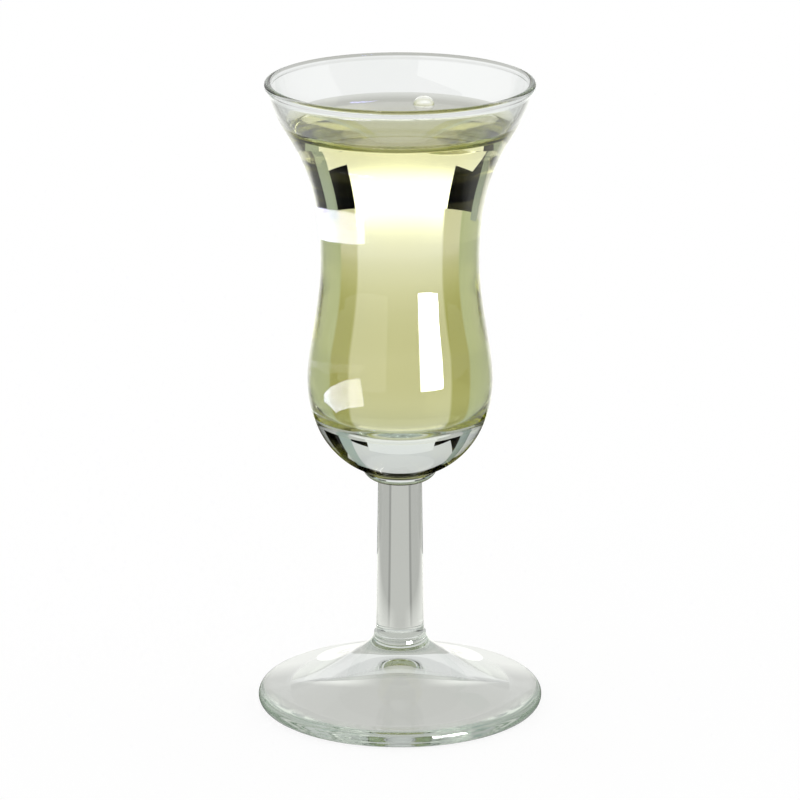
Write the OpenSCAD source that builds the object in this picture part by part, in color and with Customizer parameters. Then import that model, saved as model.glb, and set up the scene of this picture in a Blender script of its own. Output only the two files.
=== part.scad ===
// Stemmed cordial glass with a tulip bowl, a tapered stem, a round foot and a drink in the bowl.
// Millimetres, +Z up. The origin is on the table, under the middle of the foot.

/* [Foot] */
// Diameter over the rounded edge of the foot
foot_d = 60.2; // [50:0.2:76]
// Height from the table to the seat of the stem
foot_h = 15.6; // [13:0.2:24]
// Thickness of the foot at its rounded edge
foot_edge_t = 3.6; // [2.4:0.2:5.6]
// Slope of the upper face where it meets the edge, in degrees
foot_slope = 9; // [0:1:14]
// Diameter of the collar where it runs out into the foot
collar_d = 20; // [15:0.5:28]
// Height from the table to the lower end of the collar
collar_h = 10.6; // [8:0.2:12]
// Slope of the foot at the lower end of the collar, in degrees
collar_slope = 36; // [20:1:55]
// Step of the collar beyond the stem that it carries
collar_step = 0.4; // [0.1:0.1:1.5]
// Width of the flat ring that the foot stands on
rest_ring_w = 5; // [2:0.5:10]
// Rise of the hollow under the foot
hollow_rise = 8.2; // [2:0.2:9]
// Slope of the hollow where it leaves the flat ring, in degrees
hollow_slope = 16; // [6:1:22]

/* [Stem] */
// Diameter of the stem at the foot
stem_foot_d = 10.2; // [8:0.2:12]
// Diameter of the stem under its head
stem_top_d = 9.2; // [7:0.2:12]
// Length of the stem from the foot to the bowl
stem_l = 36.5; // [15:0.5:80]
// Diameter of the button head that carries the bowl
head_d = 15.6; // [13:0.2:22]
// Height of the button head
head_h = 2.6; // [1.2:0.2:5]

/* [Bowl] */
// Height of the bowl from its seat on the stem to the rim
bowl_h = 82.9; // [72:0.1:110]
// Diameter over the rim
rim_d = 56; // [44:0.5:72]
// Thickness of the fire-polished bead at the rim
rim_t = 1.6; // [1:0.1:2.4]
// Thickness of the wall under the bead
rim_wall_t = 1.2; // [0.8:0.1:1.6]
// Lean of the wall at the rim, in degrees from upright
rim_lean = 12; // [0:1:30]
// Diameter outside at the waist
waist_d = 33; // [28:0.1:40]
// Height of the waist above the bowl's seat
waist_h = 44.7; // [38:0.1:56]
// Thickness of the wall at the waist
waist_t = 1.7; // [1:0.1:3]
// Diameter outside at the belly
belly_d = 38.8; // [32:0.1:48]
// Height of the belly above the bowl's seat
belly_h = 19.4; // [16:0.2:26]
// Thickness of the wall at the belly
belly_t = 1.9; // [1:0.1:3]
// Rise of the underside where it leaves the seat, in degrees
base_rise = 15; // [0:1:30]
// Thickness of the solid base under the inside of the bowl
base_t = 9.5; // [4:0.5:14]

/* [Drink] */
// Depth from the rim down to the flat surface of the drink
ullage = 9.4; // [5:0.2:40]
// Climb of the drink at the wall
meniscus_h = 1.6; // [0.4:0.1:2.6]
// Width of the curved edge, from the wall at the height of the flat surface
meniscus_w = 1.6; // [0.6:0.1:3]

/* [Hidden] */

$fn = 96;

// Straight stretches in each curve of the bowl, and in each smaller curve
bowl_steps = 26;
small_steps = 14;

// Curve handles, as shares of the height or width that each curve crosses
flare_low_share = 0.655;
flare_high_share = 0.3;
waist_share = 0.35;
belly_share = 0.24;
base_fall_share = 0.675;
base_run_share = 0.28;
floor_fall_share = 0.66;
floor_run_share = 0.62;
collar_top_share = 0.45;
collar_low_share = 0.4;
crown_edge_share = 0.45;
crown_collar_share = 0.3;
hollow_top_share = 0.24;
hollow_side_share = 0.5;
meniscus_share = 0.2;
head_fall_share = 0.49;
head_run_share = 0.49;

glass_alpha_share = 0.4;
drink_alpha_share = 0.8;

// Heights above the table
stem_z = foot_h;
seat_z = stem_z + stem_l;
rim_z = seat_z + bowl_h;
waist_z = seat_z + waist_h;
belly_z = seat_z + belly_h;
floor_z = seat_z + base_t;
surface_z = rim_z - ullage;
contact_z = surface_z + meniscus_h;

// Middle of the round rim, and the radii of the bowl
rim_bead_r = rim_t / 2;
rim_wall_half = min(rim_wall_t, rim_t) / 2;
rim_mid = [rim_d / 2 - rim_bead_r, rim_z - rim_bead_r];
rim_across = [cos(rim_lean), -sin(rim_lean)];
rim_along = [sin(rim_lean), cos(rim_lean)];
rim_out = rim_mid + rim_wall_half * rim_across;
rim_in = rim_mid - rim_wall_half * rim_across;
waist_out = [waist_d / 2, waist_z];
waist_in = waist_out - [waist_t, 0];
belly_out = [belly_d / 2, belly_z];
belly_in = belly_out - [belly_t, 0];
seat_out = [head_d / 2, seat_z];
floor_in = [0, floor_z];

flare_h = rim_mid[1] - waist_z;
tulip_h = waist_z - belly_z;
up = [0, 1];
outward = [1, 0];

// Points after the first of a cubic curve from a to d, with b and c as its handles
function curve(a, b, c, d, steps) = [
    for (i = [1 : steps])
        let (t = i / steps, s = 1 - t)
            s * s * s * a + 3 * s * s * t * b + 3 * s * t * t * c + t * t * t * d
];

// Wall of the bowl from the belly over the waist to the rim, outside or inside
function tulip(belly, waist, rim) = concat(
    curve(belly, belly + belly_share * tulip_h * up, waist - waist_share * tulip_h * up, waist, bowl_steps),
    curve(
        waist,
        waist + flare_low_share * flare_h * up,
        rim - flare_high_share * flare_h * rim_along,
        rim,
        bowl_steps
    )
);

base_way = [cos(base_rise), sin(base_rise)];
under_points = curve(
    seat_out,
    seat_out + base_run_share * (belly_out[0] - seat_out[0]) * base_way,
    belly_out - base_fall_share * belly_h * up,
    belly_out,
    bowl_steps
);
outer_points = concat([seat_out], under_points, tulip(belly_out, waist_out, rim_out));

floor_points = curve(
    floor_in,
    floor_in + floor_run_share * belly_in[0] * outward,
    belly_in - floor_fall_share * (belly_z - floor_z) * up,
    belly_in,
    bowl_steps
);
inner_points = concat([floor_in], floor_points, tulip(belly_in, waist_in, rim_in));

// Radius of the bowl's inside at a height
inner_table = [for (p = inner_points) [p[1], p[0]]];
function inner_r(z) = lookup(z, inner_table);

function reversed(points) = [for (i = [len(points) - 1 : -1 : 0]) points[i]];

module bowl() {
    color("azure", glass_alpha_share)
        rotate_extrude() {
            polygon(concat([[0, seat_z]], outer_points, reversed(inner_points)));
            translate(rim_mid)
                circle(r = rim_bead_r);
        }
}

// Solid rod whose head swells under the seat of the bowl
head_z = seat_z - head_h;
stem_low = [stem_foot_d / 2, stem_z];
stem_top = [stem_top_d / 2, head_z];
head_points = curve(
    stem_top,
    stem_top + head_run_share * (seat_out[0] - stem_top[0]) * outward,
    seat_out - head_fall_share * head_h * up,
    seat_out,
    small_steps
);

module stem() {
    color("lightcyan", glass_alpha_share)
        rotate_extrude()
            polygon(concat([[0, stem_z], stem_low, stem_top], head_points, [[0, seat_z]]));
}

// Foot: hollow, flat ring, round edge, sloping crown and collar
edge_r = foot_edge_t / 2;
edge_mid = [foot_d / 2 - edge_r, edge_r];
edge_top = edge_mid + edge_r * [sin(foot_slope), cos(foot_slope)];
crown_way = [cos(foot_slope), -sin(foot_slope)];
collar_way = [cos(collar_slope), -sin(collar_slope)];
hollow_way = [cos(hollow_slope), -sin(hollow_slope)];
hollow_r = edge_mid[0] - rest_ring_w;
hollow_top = [0, hollow_rise];
hollow_edge = [hollow_r, 0];
collar_low = [collar_d / 2, collar_h];
collar_top = stem_low + collar_step * outward;
crown_run = edge_top[0] - collar_low[0];
collar_run = collar_low[0] - collar_top[0];

hollow_points = curve(
    hollow_top,
    hollow_top + hollow_top_share * hollow_r * outward,
    hollow_edge - hollow_side_share * hollow_r * hollow_way,
    hollow_edge,
    bowl_steps
);
crown_points = curve(
    edge_top,
    edge_top - crown_edge_share * crown_run * crown_way,
    collar_low + crown_collar_share * crown_run * collar_way,
    collar_low,
    bowl_steps
);
collar_points = curve(
    collar_low,
    collar_low - collar_low_share * collar_run * collar_way,
    collar_top - collar_top_share * (foot_h - collar_h) * up,
    collar_top,
    small_steps
);

module foot() {
    color("honeydew", glass_alpha_share)
        rotate_extrude() {
            polygon(concat(
                [hollow_top],
                hollow_points,
                [[edge_mid[0], 0], edge_top],
                crown_points,
                collar_points,
                [[0, foot_h]]
            ));
            translate(edge_mid)
                circle(r = edge_r);
        }
}

// Drink: the inside of the bowl up to its surface, which curves up at the wall
contact = [inner_r(contact_z), contact_z];
surface_wall = [inner_r(surface_z), surface_z];
surface_bend = surface_wall - meniscus_share * meniscus_w * outward;
surface_flat = surface_wall - meniscus_w * outward;
wall_points = [for (p = inner_points) if (p[1] < contact_z) p];
surface_points = [
    for (i = [0 : small_steps])
        let (t = i / small_steps, s = 1 - t)
            s * s * contact + 2 * s * t * surface_bend + t * t * surface_flat
];

module drink() {
    color("darkkhaki", drink_alpha_share)
        rotate_extrude()
            polygon(concat(wall_points, surface_points, [[0, surface_z]]));
}

bowl();
stem();
foot();
drink();
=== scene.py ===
from math import acos, cos, pi, radians, sin, tan

import bpy
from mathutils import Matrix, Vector


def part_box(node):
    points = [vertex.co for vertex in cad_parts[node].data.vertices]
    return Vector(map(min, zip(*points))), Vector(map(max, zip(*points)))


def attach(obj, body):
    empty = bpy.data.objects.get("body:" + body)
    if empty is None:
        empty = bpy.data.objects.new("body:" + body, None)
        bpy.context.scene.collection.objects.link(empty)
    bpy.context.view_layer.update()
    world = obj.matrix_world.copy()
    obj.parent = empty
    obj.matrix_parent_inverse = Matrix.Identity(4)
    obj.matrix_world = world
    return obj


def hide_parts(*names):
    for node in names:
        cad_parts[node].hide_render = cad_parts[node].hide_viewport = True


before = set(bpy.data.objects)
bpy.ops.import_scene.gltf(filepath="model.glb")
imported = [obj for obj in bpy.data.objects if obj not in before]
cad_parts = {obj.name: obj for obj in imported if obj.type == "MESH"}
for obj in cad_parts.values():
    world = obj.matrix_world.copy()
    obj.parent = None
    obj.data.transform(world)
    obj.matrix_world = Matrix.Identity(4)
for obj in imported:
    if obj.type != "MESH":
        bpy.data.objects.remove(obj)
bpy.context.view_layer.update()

scene = bpy.context.scene
mm = 0.001
up = Vector((0, 1))
outward = Vector((1, 0))
bowlLow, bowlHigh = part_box("bowl")
stemLow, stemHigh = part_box("stem")
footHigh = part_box("foot")[1]
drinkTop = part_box("drink")[1].z
print("frame loaded")


# Refractive indices; where two pieces of glass are fused, light passes straight on

ior = {"glass": 1.52, "drink": 1.36, "fused": 1.0}

# rise of a face's normal from which it is a flat end, part of the bowl's floor or of the drink's surface
faceRises = {"end": 0.999, "floor": 0.3, "surface": 0.2}


# Curves and turning

turnSizes = {
    "start": 1 * mm,
    "mergeGap": 1e-4 * mm,
    "smoothAngle": radians(50),
}


def curvePoints(a, b, c, d, steps):
    # points after the first of a cubic curve from a to d, with handles b and c
    points = []
    for i in range(1, steps + 1):
        t = i / steps
        s = 1 - t
        points.append(s ** 3 * a + 3 * s * s * t * b + 3 * s * t * t * c + t ** 3 * d)
    return points


def arcPoints(centre, radius, start, end, steps):
    # points after the first of an arc, angles in radians from outwards
    points = []
    for i in range(1, steps + 1):
        angle = start + (end - start) * i / steps
        points.append(centre + radius * Vector((cos(angle), sin(angle))))
    return points


def turnOutline(name, outline, turnSteps):
    # an outline of (radius, height) points, extruded vertex by vertex and spun about Z
    bpy.ops.object.select_all(action="DESELECT")
    bpy.ops.mesh.primitive_plane_add(size=turnSizes["start"], location=(0, 0, 0))
    piece = bpy.context.object
    piece.name = name
    piece.data.name = name
    bpy.ops.object.mode_set(mode="EDIT")
    bpy.ops.mesh.select_all(action="SELECT")
    bpy.ops.mesh.merge(type="CENTER")
    bpy.ops.transform.translate(value=(outline[0].x, 0, outline[0].y))
    for here, there in zip(outline, outline[1:]):
        move = (there.x - here.x, 0, there.y - here.y)
        bpy.ops.mesh.extrude_vertices_move(TRANSFORM_OT_translate={"value": move})
    bpy.ops.mesh.select_all(action="SELECT")
    bpy.ops.mesh.spin(steps=turnSteps, angle=2 * pi, center=(0, 0, 0), axis=(0, 0, 1))
    bpy.ops.mesh.select_all(action="SELECT")
    bpy.ops.mesh.remove_doubles(threshold=turnSizes["mergeGap"])
    bpy.ops.mesh.normals_make_consistent(inside=False)
    bpy.ops.object.mode_set(mode="OBJECT")
    bpy.ops.object.shade_smooth_by_angle(angle=turnSizes["smoothAngle"])
    return piece


def markFaces(piece, faceIor):
    # the step in refractive index across each face
    mark = piece.data.attributes.new("faceIor", "FLOAT", "FACE")
    mark.data.foreach_set("value", [faceIor(face) for face in piece.data.polygons])


# Bowl

bowlSizes = {
    "rimThickness": 1.6 * mm,
    "rimWall": 1.2 * mm,
    "rimLean": radians(12),
    "waistRadius": 16.5 * mm,
    "waistHeight": 44.7 * mm,
    "waistWall": 1.7 * mm,
    "bellyRadius": 19.4 * mm,
    "bellyHeight": 19.4 * mm,
    "bellyWall": 1.9 * mm,
    "baseRise": radians(15),
    "baseThickness": 9.5 * mm,
    "flareLow": 0.655,
    "flareHigh": 0.3,
    "waistHandle": 0.35,
    "bellyHandle": 0.24,
    "baseFall": 0.675,
    "baseRun": 0.28,
    "floorFall": 0.66,
    "floorRun": 0.62,
    "curveSteps": 44,
    "beadSteps": 22,
    "beadRoom": 1.05,    # wall points stay this many bead radii from the bead's middle
    "edgeRoom": 0.05 * mm,    # and this far above or below the edge of the drink
    "turnSteps": 256,
}

seatHeight = bowlLow.z
rimHeight = bowlHigh.z
beadRadius = bowlSizes["rimThickness"] / 2
rimWallHalf = bowlSizes["rimWall"] / 2
rimMid = Vector((bowlHigh.x - beadRadius, rimHeight - beadRadius))
rimAcross = Vector((cos(bowlSizes["rimLean"]), -sin(bowlSizes["rimLean"])))
rimAlong = Vector((sin(bowlSizes["rimLean"]), cos(bowlSizes["rimLean"])))
waistOut = Vector((bowlSizes["waistRadius"], seatHeight + bowlSizes["waistHeight"]))
bellyOut = Vector((bowlSizes["bellyRadius"], seatHeight + bowlSizes["bellyHeight"]))
waistIn = waistOut - bowlSizes["waistWall"] * outward
bellyIn = bellyOut - bowlSizes["bellyWall"] * outward
seatOut = Vector((stemHigh.x, seatHeight))
floorIn = Vector((0, seatHeight + bowlSizes["baseThickness"]))


def tulipWall(belly, waist, rim):
    tulipHeight = waist.y - belly.y
    flareHeight = rimMid.y - waist.y
    steps = bowlSizes["curveSteps"]
    low = curvePoints(
        belly,
        belly + bowlSizes["bellyHandle"] * tulipHeight * up,
        waist - bowlSizes["waistHandle"] * tulipHeight * up,
        waist,
        steps,
    )
    high = curvePoints(
        waist,
        waist + bowlSizes["flareLow"] * flareHeight * up,
        rim - bowlSizes["flareHigh"] * flareHeight * rimAlong,
        rim,
        steps,
    )
    return low + high


def bowlOutside():
    baseWay = Vector((cos(bowlSizes["baseRise"]), sin(bowlSizes["baseRise"])))
    under = curvePoints(
        seatOut,
        seatOut + bowlSizes["baseRun"] * (bellyOut.x - seatOut.x) * baseWay,
        bellyOut - bowlSizes["baseFall"] * bowlSizes["bellyHeight"] * up,
        bellyOut,
        bowlSizes["curveSteps"],
    )
    return [seatOut] + under + tulipWall(bellyOut, waistOut, rimMid + rimWallHalf * rimAcross)


def bowlInside():
    bottom = curvePoints(
        floorIn,
        floorIn + bowlSizes["floorRun"] * bellyIn.x * outward,
        bellyIn - bowlSizes["floorFall"] * (bellyIn.y - floorIn.y) * up,
        bellyIn,
        bowlSizes["curveSteps"],
    )
    return [floorIn] + bottom + tulipWall(bellyIn, waistIn, rimMid - rimWallHalf * rimAcross)


def insideAt(height):
    # the point of the bowl's inside at a height
    points = bowlInside()
    low = [p for p in points if p.y < height][-1]
    high = next(p for p in points if p.y >= height)
    return low.lerp(high, (height - low.y) / (high.y - low.y))


def makeBowl():
    # the bead is a little thicker than the wall, so its arc goes on below its middle
    lean = bowlSizes["rimLean"]
    dip = acos(rimWallHalf / beadRadius)
    bead = arcPoints(rimMid, beadRadius, -lean - dip, pi - lean + dip, bowlSizes["beadSteps"])
    beadReach = bowlSizes["beadRoom"] * beadRadius
    outside = [p for p in bowlOutside() if (p - rimMid).length > beadReach]
    inside = [p for p in bowlInside() if (p - rimMid).length > beadReach]
    # a ring of vertices at the edge of the drink parts the wet faces from the dry ones
    inside = [p for p in inside if abs(p.y - drinkTop) > bowlSizes["edgeRoom"]] + [insideAt(drinkTop)]
    inside[1:] = sorted(inside[1:], key=lambda p: p.y)
    outline = [Vector((0, seatHeight))] + outside + bead + inside[::-1]
    return turnOutline("glassBowl", outline, bowlSizes["turnSteps"])


def bowlIor(face):
    x, y, z = face.center
    inward = face.normal.x * x + face.normal.y * y < 0 or face.normal.z > faceRises["floor"]
    if inward and z < drinkTop:
        return ior["glass"] / ior["drink"]
    return ior["fused" if face.normal.z < -faceRises["end"] else "glass"]


bowl = makeBowl()
markFaces(bowl, bowlIor)
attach(bowl, "root")
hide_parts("bowl")
print("bowl turned")


# Stem, a tapered rod with a button head

stemSizes = {
    "footRadius": 5.1 * mm,
    "topRadius": 4.6 * mm,
    "headHeight": 2.6 * mm,
    "headFall": 0.49,
    "headRun": 0.49,
    "headSteps": 24,
    "rodSteps": 12,
    "turnSteps": 192,
    "fuseDepth": 0.08 * mm,
}


def makeStem():
    fuse = stemSizes["fuseDepth"] * up
    low = Vector((stemSizes["footRadius"], stemLow.z))
    top = Vector((stemSizes["topRadius"], seatHeight - stemSizes["headHeight"]))
    head = curvePoints(
        top,
        top + stemSizes["headRun"] * (seatOut.x - top.x) * outward,
        seatOut - stemSizes["headFall"] * stemSizes["headHeight"] * up,
        seatOut,
        stemSizes["headSteps"],
    )
    rod = [low.lerp(top, i / stemSizes["rodSteps"]) for i in range(stemSizes["rodSteps"] + 1)]
    # both ends reach a little into their neighbours, as fused glass does
    start = [Vector((0, low.y)) - fuse, low - fuse]
    end = [seatOut + fuse, Vector((0, seatOut.y)) + fuse]
    return turnOutline("glassStem", start + rod + head + end, stemSizes["turnSteps"])


def stemIor(face):
    return ior["glass" if stemLow.z < face.center.z < seatHeight else "fused"]


stem = makeStem()
markFaces(stem, stemIor)
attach(stem, "root")
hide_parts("stem")
print("stem turned")


# Foot, with its collar, rounded edge and the hollow under it

footSizes = {
    "edgeThickness": 3.6 * mm,
    "slope": radians(9),
    "collarRadius": 10 * mm,
    "collarHeight": 10.6 * mm,
    "collarSlope": radians(36),
    "collarStep": 0.4 * mm,
    "ringWidth": 5 * mm,
    "hollowRise": 8.2 * mm,
    "hollowSlope": radians(16),
    "hollowTop": 0.24,
    "hollowSide": 0.5,
    "collarTop": 0.45,
    "collarLow": 0.4,
    "crownEdge": 0.45,
    "crownCollar": 0.3,
    "curveSteps": 40,
    "edgeSteps": 20,
    "turnSteps": 256,
}


def makeFoot():
    edgeRadius = footSizes["edgeThickness"] / 2
    slope, collarSlope = footSizes["slope"], footSizes["collarSlope"]
    edgeMid = Vector((footHigh.x - edgeRadius, edgeRadius))
    edgeTop = edgeMid + edgeRadius * Vector((sin(slope), cos(slope)))
    hollowRadius = edgeMid.x - footSizes["ringWidth"]
    collarLow = Vector((footSizes["collarRadius"], footSizes["collarHeight"]))
    collarTop = Vector((stemSizes["footRadius"] + footSizes["collarStep"], footHigh.z))
    crownWay = Vector((cos(slope), -sin(slope)))
    collarWay = Vector((cos(collarSlope), -sin(collarSlope)))
    hollowWay = Vector((cos(footSizes["hollowSlope"]), -sin(footSizes["hollowSlope"])))
    crownRun = edgeTop.x - collarLow.x
    collarRun = collarLow.x - collarTop.x
    steps = footSizes["curveSteps"]
    hollowTop = Vector((0, footSizes["hollowRise"]))
    hollowEdge = Vector((hollowRadius, 0))
    hollow = [hollowTop] + curvePoints(
        hollowTop,
        hollowTop + footSizes["hollowTop"] * hollowRadius * outward,
        hollowEdge - footSizes["hollowSide"] * hollowRadius * hollowWay,
        hollowEdge,
        steps,
    )
    ring = [Vector((edgeMid.x, 0))]
    edge = arcPoints(edgeMid, edgeRadius, -pi / 2, pi / 2 - slope, footSizes["edgeSteps"])
    crown = curvePoints(
        edgeTop,
        edgeTop - footSizes["crownEdge"] * crownRun * crownWay,
        collarLow + footSizes["crownCollar"] * crownRun * collarWay,
        collarLow,
        steps,
    )
    collar = curvePoints(
        collarLow,
        collarLow - footSizes["collarLow"] * collarRun * collarWay,
        collarTop - footSizes["collarTop"] * (collarTop.y - collarLow.y) * up,
        collarTop,
        steps,
    )
    seat = [Vector((stemSizes["footRadius"], footHigh.z)), Vector((0, footHigh.z))]
    outline = hollow + ring + edge + crown + collar + seat
    return turnOutline("glassFoot", outline, footSizes["turnSteps"])


def footIor(face):
    underStem = face.center.xy.length < stemSizes["footRadius"]
    return ior["fused" if underStem and face.normal.z > faceRises["end"] else "glass"]


foot = makeFoot()
markFaces(foot, footIor)
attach(foot, "root")
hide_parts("foot")
print("foot turned")


# Drink, up to its surface, which climbs a little at the glass

drinkSizes = {
    "meniscusHeight": 1.6 * mm,
    "meniscusWidth": 1.6 * mm,
    "meniscusShare": 0.2,
    "meniscusSteps": 24,
    "surfaceSteps": 64,
    "surfaceDepth": 1.4 * mm,    # the dent is less deep than this
    "wetDepth": 0.08 * mm,
    "turnSteps": 256,
}

drinkEdge = insideAt(drinkTop)
surfaceHeight = drinkTop - drinkSizes["meniscusHeight"]


def makeDrink():
    # its wall reaches a little into the glass, so that no gap shows
    wet = drinkSizes["wetDepth"]
    wallPoint = insideAt(surfaceHeight)
    bend = wallPoint - drinkSizes["meniscusShare"] * drinkSizes["meniscusWidth"] * outward
    flat = wallPoint - drinkSizes["meniscusWidth"] * outward
    outline = []
    for p in bowlInside():
        if p.y < drinkTop:
            outline.append(p + Vector((wet if p.x > 0 else 0, -wet if p.y < bellyIn.y else 0)))
    outline.append(drinkEdge + wet * outward)
    for i in range(drinkSizes["meniscusSteps"] + 1):
        t = i / drinkSizes["meniscusSteps"]
        s = 1 - t
        outline.append(s * s * drinkEdge + 2 * s * t * bend + t * t * flat)
    for i in range(1, drinkSizes["surfaceSteps"] + 1):
        outline.append(flat.lerp(Vector((0, flat.y)), i / drinkSizes["surfaceSteps"]))
    return turnOutline("cordialDrink", outline, drinkSizes["turnSteps"])


def drinkIor(face):
    # only the surface bends light; at the wall, the bowl's own faces do
    nearSurface = face.center.z > surfaceHeight - drinkSizes["surfaceDepth"]
    withinWall = face.center.xy.length < drinkEdge.x
    atSurface = nearSurface and withinWall and face.normal.z > faceRises["surface"]
    return ior["drink" if atSurface else "fused"]


# a bubble by the far wall: a film that stands over a dent in the drink
bubbleSizes = {
    "place": (5.0 * mm, 19.4 * mm),
    "radius": 2.17 * mm,
    "height": 1.8 * mm,
    "film": 0.08 * mm,
    "dent": 0.7 * mm,
    "arcSteps": 16,
    "turnSteps": 64,
}

bubblePlace = Vector((*bubbleSizes["place"], surfaceHeight))


def dentDrink(drink):
    bpy.ops.object.select_all(action="DESELECT")
    drink.select_set(True)
    bpy.context.view_layer.objects.active = drink
    bpy.ops.object.mode_set(mode="EDIT")
    bpy.ops.mesh.select_all(action="DESELECT")
    bpy.ops.object.mode_set(mode="OBJECT")
    nearest = min(drink.data.vertices, key=lambda vertex: (vertex.co - bubblePlace).length)
    nearest.select = True
    bpy.ops.object.mode_set(mode="EDIT")
    bpy.ops.transform.translate(
        value=(0, 0, -bubbleSizes["dent"]),
        use_proportional_edit=True,
        proportional_edit_falloff="SPHERE",
        proportional_size=bubbleSizes["radius"],
    )
    bpy.ops.object.mode_set(mode="OBJECT")


def makeBubble():
    radius, height, film = bubbleSizes["radius"], bubbleSizes["height"], bubbleSizes["film"]
    angles = [pi / 2 * i / bubbleSizes["arcSteps"] for i in range(bubbleSizes["arcSteps"] + 1)]
    inside = [Vector(((radius - film) * sin(a), (height - film) * cos(a))) for a in angles]
    outside = [Vector((radius * sin(a), height * cos(a))) for a in angles]
    outline = inside + outside[::-1]
    bubble = turnOutline("cordialBubble", outline, bubbleSizes["turnSteps"])
    bpy.ops.transform.translate(value=bubblePlace)
    bpy.ops.object.transform_apply(location=True, rotation=False, scale=False)
    return bubble


def bubbleIor(face):
    return ior["fused" if face.normal.z < -faceRises["end"] else "drink"]


drink = makeDrink()
dentDrink(drink)
markFaces(drink, drinkIor)
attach(drink, "root")
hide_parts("drink")
bubble = makeBubble()
markFaces(bubble, bubbleIor)
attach(bubble, "root")
print("drink poured")


# Nodes that the materials share

white = (1, 1, 1, 1)


def feed(tree, socket, value):
    # an output is linked, a number or a colour is written in
    if isinstance(value, bpy.types.NodeSocket):
        tree.links.new(value, socket)
    else:
        socket.default_value = value


def mixValue(tree, factor, first, second):
    # the names of a Mix node's sockets repeat, so they are taken by place
    node = tree.nodes.new("ShaderNodeMix")
    feed(tree, node.inputs[0], factor)
    feed(tree, node.inputs[2], first)
    feed(tree, node.inputs[3], second)
    return node.outputs[0]


def mixColour(tree, factor, first, second):
    node = tree.nodes.new("ShaderNodeMix")
    node.data_type = "RGBA"
    feed(tree, node.inputs[0], factor)
    feed(tree, node.inputs[6], first)
    feed(tree, node.inputs[7], second)
    return node.outputs[2]


def mixShader(tree, factor, first, second):
    node = tree.nodes.new("ShaderNodeMixShader")
    for socket, value in zip(node.inputs, (factor, first, second)):
        feed(tree, socket, value)
    return node.outputs["Shader"]


def mapRange(tree, value, fromLow, fromHigh, toLow=0, toHigh=1):
    node = tree.nodes.new("ShaderNodeMapRange")
    node.inputs["From Min"].default_value = fromLow
    node.inputs["From Max"].default_value = fromHigh
    node.inputs["To Min"].default_value = toLow
    node.inputs["To Max"].default_value = toHigh
    feed(tree, node.inputs["Value"], value)
    return node.outputs["Result"]


def calculate(tree, operation, *values):
    node = tree.nodes.new("ShaderNodeMath")
    node.operation = operation
    for socket, value in zip(node.inputs, values):
        feed(tree, socket, value)
    return node.outputs["Value"]


def emission(tree, colour, light):
    node = tree.nodes.new("ShaderNodeEmission")
    feed(tree, node.inputs["Color"], colour)
    feed(tree, node.inputs["Strength"], light)
    return node.outputs["Emission"]


# Glass and drink

glassLook = {
    "colour": (0.98, 0.99, 0.982, 1),
    "streakColour": (0.955, 0.975, 0.962, 1),
    "waveScale": 90.0,
    "waveHeight": 0.025 * mm,
    "ior": ior["glass"],
    "tint": (0.68, 0.84, 0.69, 1),
    "tintDensity": 6.5,
}

drinkLook = {
    "colour": white,
    "streakColour": (0.975, 0.975, 0.95, 1),
    "waveScale": 60.0,
    "waveHeight": 0.012 * mm,
    "ior": ior["drink"],
    "tint": (0.90, 0.87, 0.55, 1),
    "tintDensity": 40.0,
}


def makeWavyClear():
    # slow waves and faint streaks, as in drawn glass and a poured syrup
    group = bpy.data.node_groups.new("wavyClear", "ShaderNodeTree")
    for name, kind in (("Scale", "Float"), ("Colour", "Color"), ("StreakColour", "Color")):
        group.interface.new_socket(name=name, in_out="INPUT", socket_type="NodeSocket" + kind)
    for name, kind in (("Colour", "Color"), ("Height", "Float")):
        group.interface.new_socket(name=name, in_out="OUTPUT", socket_type="NodeSocket" + kind)
    nodes, links = group.nodes, group.links
    given = nodes.new("NodeGroupInput")
    result = nodes.new("NodeGroupOutput")
    place = nodes.new("ShaderNodeTexCoord")
    waves = nodes.new("ShaderNodeTexNoise")
    waves.inputs["Detail"].default_value = 1
    links.new(place.outputs["Object"], waves.inputs["Vector"])
    links.new(given.outputs["Scale"], waves.inputs["Scale"])
    links.new(waves.outputs["Fac"], result.inputs["Height"])
    colour, streakColour = given.outputs["Colour"], given.outputs["StreakColour"]
    links.new(mixColour(group, waves.outputs["Fac"], colour, streakColour), result.inputs["Colour"])
    return group


wavyClear = makeWavyClear()


def clearMaterial(name, look):
    mat = bpy.data.materials.new(name)
    mat.use_nodes = True
    nodes, links = mat.node_tree.nodes, mat.node_tree.links
    shader = nodes["Principled BSDF"]
    wavy = nodes.new("ShaderNodeGroup")
    wavy.node_tree = wavyClear
    wavy.inputs["Scale"].default_value = look["waveScale"]
    wavy.inputs["Colour"].default_value = look["colour"]
    wavy.inputs["StreakColour"].default_value = look["streakColour"]
    links.new(wavy.outputs["Colour"], shader.inputs["Base Color"])
    bump = nodes.new("ShaderNodeBump")
    bump.inputs["Strength"].default_value = 1
    bump.inputs["Distance"].default_value = look["waveHeight"]
    links.new(wavy.outputs["Height"], bump.inputs["Height"])
    links.new(bump.outputs["Normal"], shader.inputs["Normal"])
    shader.inputs["Roughness"].default_value = 0
    shader.inputs["Transmission Weight"].default_value = 1
    # each face has its own index; the plain value is for an export that keeps one
    shader.inputs["IOR"].default_value = look["ior"]
    mark = nodes.new("ShaderNodeAttribute")
    mark.attribute_name = "faceIor"
    links.new(mark.outputs["Fac"], shader.inputs["IOR"])
    volume = nodes.new("ShaderNodeVolumeAbsorption")
    volume.inputs["Color"].default_value = look["tint"]
    volume.inputs["Density"].default_value = look["tintDensity"]
    links.new(volume.outputs["Volume"], nodes["Material Output"].inputs["Volume"])
    return mat


clearGlass = clearMaterial("clearGlass", glassLook)
cordial = clearMaterial("paleCordial", drinkLook)
for piece in (bowl, stem, foot):
    piece.data.materials.append(clearGlass)
for piece in (drink, bubble):
    piece.data.materials.append(cordial)
print("materials set")


# Camera at the photograph's view

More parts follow.
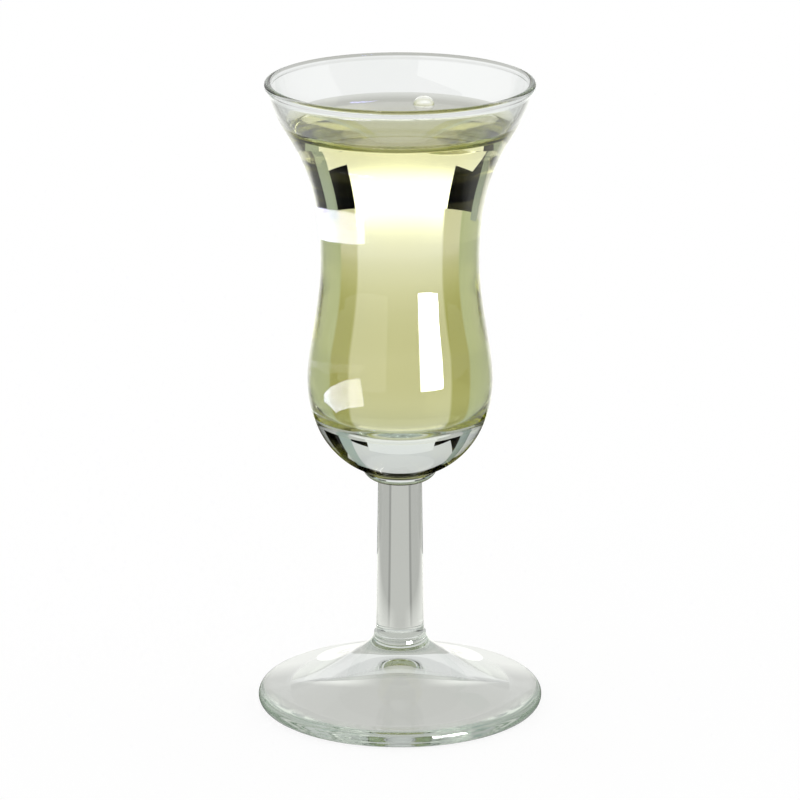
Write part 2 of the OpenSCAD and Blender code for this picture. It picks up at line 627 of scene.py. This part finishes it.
cameraSizes = {
    "away": 957.3 * mm,
    "height": 351.5 * mm,
    "pitch": radians(16.569),
    "focalPixels": 4773.5,
    "imagePixels": 800,
    "sensor": 36,
}

cameraData = bpy.data.cameras.new("camera")
cameraData.sensor_width = cameraSizes["sensor"]
cameraData.lens = cameraSizes["sensor"] * cameraSizes["focalPixels"] / cameraSizes["imagePixels"]
camera = bpy.data.objects.new("camera", cameraData)
camera.location = (0, -cameraSizes["away"], cameraSizes["height"])
camera.rotation_euler = (pi / 2 - cameraSizes["pitch"], 0, 0)
scene.collection.objects.link(camera)
scene.camera = camera
print("camera placed")


# Studio: a white table in a dark room, with cards that the camera doesn't see.
# Lengths are in metres and angles in degrees, turning right from straight behind the glass.

scene.view_settings.view_transform = "Standard"
scene.cycles.max_bounces = 80
scene.cycles.transmission_bounces = 80
scene.cycles.glossy_bounces = 40
scene.cycles.transparent_max_bounces = 16
scene.cycles.sample_clamp_indirect = 0

# how often the glass has bent or mirrored a ray; thick is through the full bowl
rayLimits = {
    "bent": ("Transmission Depth", 1),
    "thick": ("Transmission Depth", 5),
    "mirrored": ("Glossy Depth", 1),
    "deep": ("Glossy Depth", 2),
    "trapped": ("Glossy Depth", 3),
}

softEdge = 0.01    # radians to each side of an edge on the table


def newMaterial(name):
    mat = bpy.data.materials.new(name)
    mat.use_nodes = True
    mat.node_tree.nodes.clear()
    return mat, mat.node_tree


def setSurface(tree, shader):
    output = tree.nodes.new("ShaderNodeOutputMaterial")
    tree.links.new(shader, output.inputs["Surface"])


def rayMask(tree, name):
    # 1 for rays that were bent or mirrored so often or more, and 0 for others
    kind, count = rayLimits[name]
    paths = tree.nodes.new("ShaderNodeLightPath")
    return mapRange(tree, paths.outputs[kind], count - 1, count)


def objectPlace(tree):
    place = tree.nodes.new("ShaderNodeTexCoord")
    split = tree.nodes.new("ShaderNodeSeparateXYZ")
    tree.links.new(place.outputs["Object"], split.inputs["Vector"])
    return split.outputs["X"], split.outputs["Y"], split.outputs["Z"]


def sideTurn(tree, x, y):
    # the angle from straight behind the glass, to either side
    return calculate(tree, "ABSOLUTE", calculate(tree, "ARCTAN2", x, y))


def angleRamp(tree, turn, angles):
    return mapRange(tree, turn, *[radians(angle) for angle in angles])


def angleStep(tree, turn, angle):
    return mapRange(tree, turn, radians(angle) - softEdge, radians(angle) + softEdge)


def hideFromCamera(obj):
    # only the glass shows it, and it neither lights nor shades the table
    obj.visible_camera = False
    obj.visible_diffuse = False
    obj.visible_shadow = False


# Cards: sheets and softboxes that glow, and flags, which have no light

cards = [
    {
        "name": "backSheet", "azimuth": -0.6, "half": 17.1, "away": 1.3, "low": 0, "high": 0.5,
        "light": 2.4, "topLight": 1.18, "fade": (-0.15, 0.42), "thinLight": 0.88,
    },
    {
        "name": "rightBoard", "azimuth": 31.5, "half": 5, "away": 0.9, "low": 0, "high": 0.9,
        "light": 0.5, "colour": (0.86, 1, 0.94, 1),
    },
    {
        "name": "rightPanel", "azimuth": 82, "half": 26, "away": 0.9, "low": 0, "high": 0.9,
        "light": 0.55,
    },
    {
        "name": "rightCard", "azimuth": 103, "half": 8, "away": 0.85, "low": 0, "high": 0.9,
        "light": 1.0, "thinLight": 0.55, "thickColour": (1, 1, 0.8, 1),
    },
    {
        "name": "leftBoard", "azimuth": -40.5, "half": 5, "away": 0.9, "low": 0, "high": 0.9,
        "light": 0.4, "colour": (0.86, 1, 0.94, 1),
    },
    {
        "name": "leftPanel", "azimuth": -78, "half": 32, "away": 0.9, "low": 0, "high": 0.9,
        "light": 0.75,
    },
    {
        "name": "keySoftbox", "azimuth": 140.5, "half": 14.5, "away": 0.42, "low": 0.027, "high": 0.24,
        "light": 15, "thinLight": 32, "deepLight": 2.0, "thickColour": (0.87, 0.85, 2.1, 1),
    },
    {
        "name": "fillBoard", "azimuth": -130, "half": 33, "away": 0.6, "low": 0, "high": 0.6,
        "light": 0.75, "deepLight": 0.1,
    },
    {
        "name": "backScrim", "azimuth": 0, "half": 34, "away": 1.35, "low": 0.36, "high": 1.25,
        "lean": 55, "light": 1.2, "thinLight": 0.74,
    },
    {"name": "rimFlag", "azimuth": 140.5, "half": 34, "away": 0.06, "low": 0.108, "high": 0.165},
    {
        "name": "ringFlag", "azimuth": 0, "half": 54, "away": 0.044, "low": -0.006, "high": 0.066,
        "lean": -90,
    },
]

# what a card has where it names nothing else; fade runs over shares of its height, from its middle
cardDefaults = {"lean": 0, "colour": white, "fade": (-0.5, 0.5), "deepLight": 0.5}


def glowMaterial(card):
    # an even glow, or one that fades towards the top of the card
    mat, tree = newMaterial(card["name"])
    light = card["light"]
    colour = card.get("colour", cardDefaults["colour"])
    fadeFrom, fadeTo = card.get("fade", cardDefaults["fade"])
    cardHeight = objectPlace(tree)[1]
    fade = mapRange(tree, cardHeight, fadeFrom, fadeTo, light, card.get("topLight", light))
    fade.node.interpolation_type = "SMOOTHSTEP"
    # thin glass and first reflections, then the full bowl, then light mirrored more than once
    thick = rayMask(tree, "thick")
    deep = rayMask(tree, "deep")
    seenColour = mixColour(tree, thick, colour, card.get("thickColour", colour))
    seenLight = mixValue(tree, thick, card.get("thinLight", light), fade)
    deepLight = card.get("deepLight", min(light, cardDefaults["deepLight"]))
    glowColour = mixColour(tree, deep, seenColour, colour)
    setSurface(tree, emission(tree, glowColour, mixValue(tree, deep, seenLight, deepLight)))
    return mat


def flagMaterial(card):
    # dark on its front to what the glass mirrors, but not through the full bowl; else clear
    mat, tree = newMaterial(card["name"])
    side = tree.nodes.new("ShaderNodeNewGeometry")
    passing = tree.nodes.new("ShaderNodeBsdfTransparent")
    shaded = mixValue(tree, rayMask(tree, "thick"), rayMask(tree, "mirrored"), 0)
    shadedFront = mixValue(tree, side.outputs["Backfacing"], shaded, 0)
    dark = emission(tree, white, 0)
    setSurface(tree, mixShader(tree, shadedFront, passing.outputs["BSDF"], dark))
    return mat


def makeCard(card):
    width = 2 * card["away"] * tan(radians(card["half"]))
    height = card["high"] - card["low"]
    angle = radians(card["azimuth"])
    lean = radians(card.get("lean", cardDefaults["lean"]))
    place = (
        card["away"] * sin(angle),
        card["away"] * cos(angle),
        (card["high"] + card["low"]) / 2,
    )
    bpy.ops.object.select_all(action="DESELECT")
    bpy.ops.mesh.primitive_plane_add(size=1, location=place, rotation=(pi / 2 + lean, 0, -angle))
    sheet = bpy.context.object
    sheet.name = card["name"]
    sheet.scale = (width, height, 1)
    sheet.data.materials.append(glowMaterial(card) if "light" in card else flagMaterial(card))
    hideFromCamera(sheet)


for card in cards:
    makeCard(card)


# Room around all; its ramps run along Y, or over angles above the table or from straight behind

roomLook = {
    "radius": 3.0,
    "segments": 48,
    "rings": 24,
    "firstLight": 0.6,
    "firstAlong": (-0.6, 0.6),
    "lowLight": 0.8,
    "lowAngles": (7.5, 9),
    "sideLight": 0.7,
    "sideAngles": (58, 66),
    "innerLight": 0.6,
    "frontInner": 0.08,
    "highAngles": (56, 60),
    "behindAlong": (-0.3, 0.3),
    "deepLight": 0.45,
}


def heightRamp(tree, z, angles, lowLight, highLight):
    low, high = [roomLook["radius"] * sin(radians(angle)) for angle in angles]
    return mapRange(tree, z, low, high, lowLight, highLight)


def roomMaterial():
    mat, tree = newMaterial("darkRoom")
    x, y, z = objectPlace(tree)
    mirrored = rayMask(tree, "mirrored")
    behind = mapRange(tree, y, *roomLook["behindAlong"])
    # mirrored by the outside of the glass
    first = mapRange(tree, y, *roomLook["firstAlong"], 0, roomLook["firstLight"])
    # seen through thin glass, or mirrored inside it
    low = heightRamp(tree, z, roomLook["lowAngles"], roomLook["lowLight"], 0)
    side = angleRamp(tree, sideTurn(tree, x, y), roomLook["sideAngles"])
    thin = mixValue(tree, side, low, roomLook["sideLight"])
    high = heightRamp(tree, z, roomLook["highAngles"], roomLook["frontInner"], roomLook["innerLight"])
    inner = mixValue(tree, behind, high, roomLook["innerLight"])
    clear = mixValue(tree, mirrored, thin, inner)
    # through the full bowl, dark behind it, and light in front of it or after many reflections
    ahead = mixValue(tree, behind, roomLook["deepLight"], 0)
    direct = mixValue(tree, mirrored, ahead, 0)
    full = mixValue(tree, rayMask(tree, "trapped"), direct, roomLook["deepLight"])
    through = mixValue(tree, rayMask(tree, "thick"), clear, full)
    setSurface(tree, emission(tree, white, mixValue(tree, rayMask(tree, "bent"), first, through)))
    return mat


def makeRoom():
    bpy.ops.object.select_all(action="DESELECT")
    bpy.ops.mesh.primitive_uv_sphere_add(
        radius=roomLook["radius"],
        segments=roomLook["segments"],
        ring_count=roomLook["rings"],
    )
    room = bpy.context.object
    room.name = "darkRoom"
    room.data.materials.append(roomMaterial())
    hideFromCamera(room)


makeRoom()


# Table; its ramps run along Y, across X to either side, or over angles from straight behind

tableSizes = {
    "radius": 1.35,
    "segments": 128,
    "drop": 0.1 * mm,
    "shadow": 0.14,
    "stripHalf": 16.5,
}

tableInBowl = {
    "nearLight": 0.57,
    "frontLight": 0.05,
    "frontAlong": (-0.16, -0.09),
    "besideLight": 0.95,
    "besideAcross": (0.05, 0.09),
    "besideColour": (1, 0.99, 0.62, 1),
    "behindAlong": (0.03, 0.12),
    "colourAlong": (0.03, 0.06),
    "stripColour": (1, 0.995, 0.74, 1),
    "whiteAlong": (0.15, 0.42),
    "gapLight": 0.45,
    "gapFarLight": 0.8,
    "gapAlong": (0.17, 0.42),
    "gapColour": (1, 1, 0.43, 1),
    "gapFarColour": (1, 0.985, 0.82, 1),
    "boardFrom": 27,
    "boardLight": 0.57,
    "boardColour": (0.94, 1.03, 0.7, 1),
}

# light of the strip behind the glass: shares of its reach, and of its light there
stripLook = {
    "reach": 1.3,
    "light": 2.5,
    "shares": [
        (0, 0.245), (0.08, 0.25), (0.123, 0.28), (0.16, 0.305), (0.2, 0.34), (0.3, 0.41),
        (0.39, 0.48), (0.46, 0.56), (0.54, 0.68), (0.77, 0.88), (1, 1),
    ],
}

tableInThinGlass = {
    # painted shadow on the table under the foot, as the glass sees it
    "paintedShadowUnderFoot": 0.575,
    # painted pool of light on the table under the foot's back
    "paintedPoolLight": 0.94,
    "poolAcross": (0.005, 0.013),
    "poolAlong": (0.006, 0.014),
    "footAlong": (0.03, 0.06),
    "stripLight": 0.56,
    "lineLight": 0.34,
    "lineTo": 21,
    "sideLight": 0.49,
    "farLight": 0.98,
    "farAlong": (0.3, 0.55),
    "nearColour": (1, 1, 0.955, 1),
}

tableMirrored = {
    "frontLight": 0.04,
    "behindAlong": (0, 0.06),
    "backLight": 1.4,
    "sideLight": 0.55,
    "sideAngles": (28, 40),
}


def stripLight(tree, along):
    curve = tree.nodes.new("ShaderNodeFloatCurve")
    points = curve.mapping.curves[0].points
    points[0].location = stripLook["shares"][0]
    points[1].location = stripLook["shares"][-1]
    for share in stripLook["shares"][1:-1]:
        points.new(*share)
    curve.mapping.update()
    feed(tree, curve.inputs["Value"], mapRange(tree, along, 0, stripLook["reach"]))
    return calculate(tree, "MULTIPLY", curve.outputs["Value"], stripLook["light"])


def bowlGlow(tree, across, along, turn):
    look = tableInBowl
    mirrored = rayMask(tree, "mirrored")
    front = mixValue(tree, mirrored, look["nearLight"], look["frontLight"])
    # light beside the glass that the drink's wall mirrors
    beside = calculate(tree, "MULTIPLY", mirrored, mapRange(tree, across, *look["besideAcross"]))
    around = mixValue(tree, beside, look["nearLight"], look["besideLight"])
    near = mixValue(tree, mapRange(tree, along, *look["frontAlong"]), front, around)
    # behind the glass, a strip, then a gap to each side, then what the boards light
    pastStrip = angleStep(tree, turn, tableSizes["stripHalf"])
    pastGap = angleStep(tree, turn, look["boardFrom"])
    receding = mapRange(tree, along, *look["gapAlong"])
    gap = mixValue(tree, receding, look["gapLight"], look["gapFarLight"])
    sides = mixValue(tree, pastGap, gap, look["boardLight"])
    behind = mixValue(tree, pastStrip, stripLight(tree, along), sides)
    light = mixValue(tree, mapRange(tree, along, *look["behindAlong"]), near, behind)
    # the colour deepens towards the glass and beside the strip
    whitening = mapRange(tree, along, *look["whiteAlong"])
    stripColour = mixColour(tree, whitening, look["stripColour"], white)
    gapColour = mixColour(tree, receding, look["gapColour"], look["gapFarColour"])
    sideColour = mixColour(tree, pastGap, gapColour, look["boardColour"])
    behindColour = mixColour(tree, pastStrip, stripColour, sideColour)
    nearColour = mixColour(tree, beside, white, look["besideColour"])
    colour = mixColour(tree, mapRange(tree, along, *look["colourAlong"]), nearColour, behindColour)
    return light, colour


def thinGlow(tree, across, along, turn):
    look = tableInThinGlass
    pastStrip = angleStep(tree, turn, tableSizes["stripHalf"])
    pastLine = angleStep(tree, turn, look["lineTo"])
    sides = mixValue(tree, pastLine, look["lineLight"], look["sideLight"])
    bands = mixValue(tree, pastStrip, look["stripLight"], sides)
    # painted light on the table, as seen through the foot: a painted shadow under the foot, with a
    # painted pool of light under its back, to both sides
    sideways = mapRange(tree, across, *look["poolAcross"])
    paintedPool = calculate(tree, "MULTIPLY", sideways, mapRange(tree, along, *look["poolAlong"]))
    under = mixValue(tree, paintedPool, look["paintedShadowUnderFoot"], look["paintedPoolLight"])
    near = mixValue(tree, mapRange(tree, along, *look["footAlong"]), under, bands)
    distant = mapRange(tree, along, *look["farAlong"])
    light = mixValue(tree, distant, near, look["farLight"])
    return light, mixColour(tree, distant, look["nearColour"], white)


def mirroredLight(tree, along, turn):
    look = tableMirrored
    side = angleRamp(tree, turn, look["sideAngles"])
    behind = mixValue(tree, side, look["backLight"], look["sideLight"])
    return mixValue(tree, mapRange(tree, along, *look["behindAlong"]), look["frontLight"], behind)


def tableMaterial():
    # white with a soft shadow to the camera, and its own light for the glass
    mat, tree = newMaterial("whiteTable")
    paths = tree.nodes.new("ShaderNodeLightPath")
    x, along, z = objectPlace(tree)
    across = calculate(tree, "ABSOLUTE", x)
    turn = sideTurn(tree, x, along)
    thick = rayMask(tree, "thick")
    thinLight, thinColour = thinGlow(tree, across, along, turn)
    bowlLight, bowlColour = bowlGlow(tree, across, along, turn)
    through = mixValue(tree, thick, thinLight, bowlLight)
    gloss = mirroredLight(tree, along, turn)
    light = mixValue(tree, paths.outputs["Is Transmission Ray"], gloss, through)
    glow = emission(tree, mixColour(tree, thick, thinColour, bowlColour), light)
    paper = tree.nodes.new("ShaderNodeBsdfDiffuse")
    paper.inputs["Color"].default_value = white
    seen = mixShader(tree, tableSizes["shadow"], emission(tree, white, 1), paper.outputs["BSDF"])
    setSurface(tree, mixShader(tree, paths.outputs["Is Camera Ray"], glow, seen))
    return mat


def makeTable():
    bpy.ops.object.select_all(action="DESELECT")
    bpy.ops.mesh.primitive_circle_add(
        vertices=tableSizes["segments"],
        radius=tableSizes["radius"],
        fill_type="NGON",
        location=(0, 0, -tableSizes["drop"]),
    )
    table = bpy.context.object
    table.name = "whiteTable"
    table.data.materials.append(tableMaterial())


makeTable()


# White light all round

world = bpy.data.worlds.new("whiteRoom")
scene.world = world
world.use_nodes = True
background = world.node_tree.nodes["Background"]
background.inputs["Color"].default_value = white
background.inputs["Strength"].default_value = 1
print("studio set")
